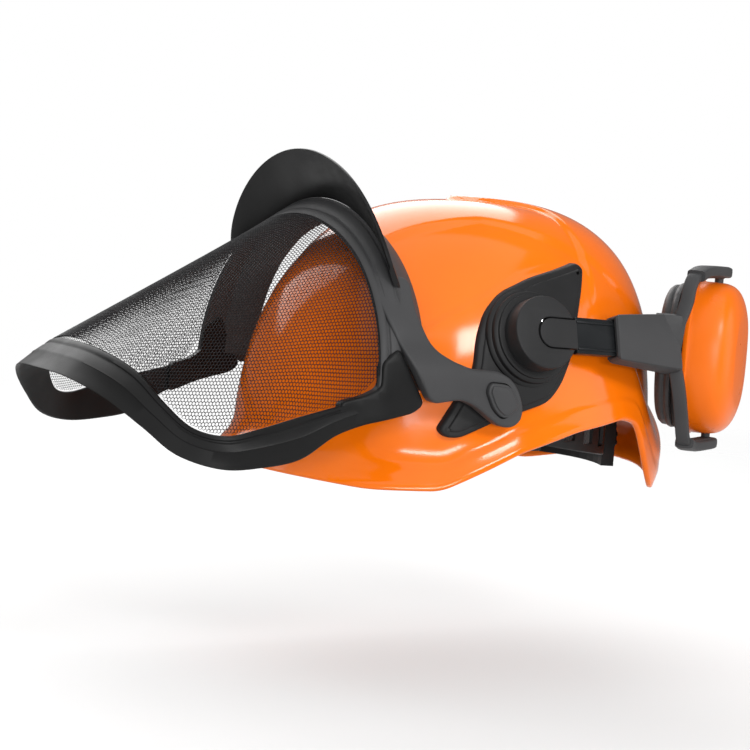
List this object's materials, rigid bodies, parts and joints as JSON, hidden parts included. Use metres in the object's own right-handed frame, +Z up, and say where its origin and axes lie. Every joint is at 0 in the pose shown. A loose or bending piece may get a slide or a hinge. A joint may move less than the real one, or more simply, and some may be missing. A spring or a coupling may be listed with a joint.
{
  "type": "hard hat",
  "caption": "Forestry hard hat: orange shell and suspension, raised mesh visor on side pivots, and ear defenders parked at the back.",
  "frame": {"origin": "middle of the head opening, level with the shell's side rim", "axes": "+X to the wearer's left, -Y to the front, +Z up"},
  "size_m": [0.2594, 0.4192, 0.1847],
  "materials": {
    "shell_plastic": "glossy moulded orange plastic",
    "black_plastic": "satin moulded black plastic",
    "peak_plastic": "smooth black flexible plastic",
    "arm_plastic": "black moulded plastic",
    "yoke_plastic": "dark grey moulded plastic",
    "mesh_nylon": "black mesh with hexagonal holes",
    "steel": "plain steel pin",
    "cushion": "soft black leatherette over foam",
    "foam": "open-cell dark foam",
    "sweatband": "terry-faced foam",
    "webbing": "woven tape"
  },
  "bodies": {
    "helmet": {"shell": "shell_plastic", "side_plate_left": "black_plastic", "side_plate_right": "black_plastic", "visor_pivot_pin_left": "steel", "visor_pivot_pin_right": "steel", "ear_hub_base_left": "black_plastic", "ear_hub_base_right": "black_plastic", "headband_front": "black_plastic", "sweatband": "sweatband", "crown_strap_1": "webbing", "crown_strap_2": "webbing", "crown_strap_3": "webbing", "harness_clip_front": "black_plastic", "harness_clip_front_left": "black_plastic", "harness_clip_front_right": "black_plastic", "harness_clip_rear": "black_plastic", "harness_clip_rear_left": "black_plastic", "harness_clip_rear_right": "black_plastic"},
    "visor": {"visor_bracket": "black_plastic", "visor_peak": "peak_plastic", "visor_frame": "black_plastic", "visor_mesh": "mesh_nylon"},
    "nape_unit": {"nape_band": "black_plastic", "ratchet_housing": "black_plastic", "nape_pad": "foam"},
    "ratchet_drive": {"ratchet_knob": "black_plastic", "ratchet_pinion": "steel"},
    "button_left": {"visor_button_left": "black_plastic"},
    "hub_left": {"ear_hub_cap_left": "black_plastic", "ear_hinge_pin_left": "steel"},
    "arm_left": {"ear_arm_left": "arm_plastic"},
    "fork_left": {"ear_yoke_left": "yoke_plastic"},
    "cup_left": {"ear_cup_left": "shell_plastic", "ear_cup_ring_left": "black_plastic", "ear_foam_left": "foam", "ear_cushion_left": "cushion"},
    "button_right": {"visor_button_right": "black_plastic"},
    "hub_right": {"ear_hub_cap_right": "black_plastic", "ear_hinge_pin_right": "steel"},
    "arm_right": {"ear_arm_right": "arm_plastic"},
    "fork_right": {"ear_yoke_right": "yoke_plastic"},
    "cup_right": {"ear_cup_right": "shell_plastic", "ear_cup_ring_right": "black_plastic", "ear_foam_right": "foam", "ear_cushion_right": "cushion"}
  },
  "joints": [
    {"name": "visor_hinge", "type": "hinge", "parent": "helmet", "child": "visor", "pos_m": [0, -0.038, 0.049], "axis": [1, 0, 0], "range_deg": [0, 50]},
    {"name": "nape_slide", "type": "slide", "parent": "helmet", "child": "nape_unit", "axis": [0, -1, 0], "range_m": [0, 0.01]},
    {"name": "ratchet_turn", "type": "hinge", "parent": "nape_unit", "child": "ratchet_drive", "pos_m": [0, 0.12, 0.012], "axis": [0, 1, 0], "range_deg": [0, 116]},
    {"name": "visor_button_left_press", "type": "slide", "parent": "visor", "child": "button_left", "axis": [-1, 0, 0], "range_m": [0, 0.0015], "stiffness_N_per_m": 500},
    {"name": "ear_swing_left", "type": "hinge", "parent": "helmet", "child": "hub_left", "pos_m": [0.116, -0.011, 0.084], "axis": [-0.9563, 0, -0.2924], "range_deg": [0, 90]},
    {"name": "ear_flip_left", "type": "hinge", "parent": "hub_left", "child": "arm_left", "pos_m": [0.11255, -0.012, 0.08298], "axis": [0.2922, -0.0349, -0.9557], "range_deg": [0, 30]},
    {"name": "ear_reach_left", "type": "slide", "parent": "arm_left", "child": "fork_left", "axis": [0.0102, 0.9994, -0.0334], "range_m": [0, 0.018]},
    {"name": "ear_tilt_left", "type": "hinge", "parent": "fork_left", "child": "cup_left", "pos_m": [0.0985, 0.125, 0.071], "axis": [0, 0, -1], "range_deg": [0, 24]},
    {"name": "visor_button_right_press", "type": "slide", "parent": "visor", "child": "button_right", "axis": [1, 0, 0], "range_m": [0, 0.0015], "stiffness_N_per_m": 500},
    {"name": "ear_swing_right", "type": "hinge", "parent": "helmet", "child": "hub_right", "pos_m": [-0.116, -0.011, 0.084], "axis": [-0.9563, 0, 0.2924], "range_deg": [0, 90]},
    {"name": "ear_flip_right", "type": "hinge", "parent": "hub_right", "child": "arm_right", "pos_m": [-0.11255, -0.012, 0.08298], "axis": [0.2922, 0.0349, 0.9557], "range_deg": [0, 30]},
    {"name": "ear_reach_right", "type": "slide", "parent": "arm_right", "child": "fork_right", "axis": [-0.0102, 0.9994, -0.0334], "range_m": [0, 0.018]},
    {"name": "ear_tilt_right", "type": "hinge", "parent": "fork_right", "child": "cup_right", "pos_m": [-0.0985, 0.125, 0.071], "axis": [0, 0, 1], "range_deg": [0, 24]}
  ],
  "couplings": [
    {"joint": "ratchet_turn", "follows": "nape_slide", "rad_per_m": 200}
  ]
}
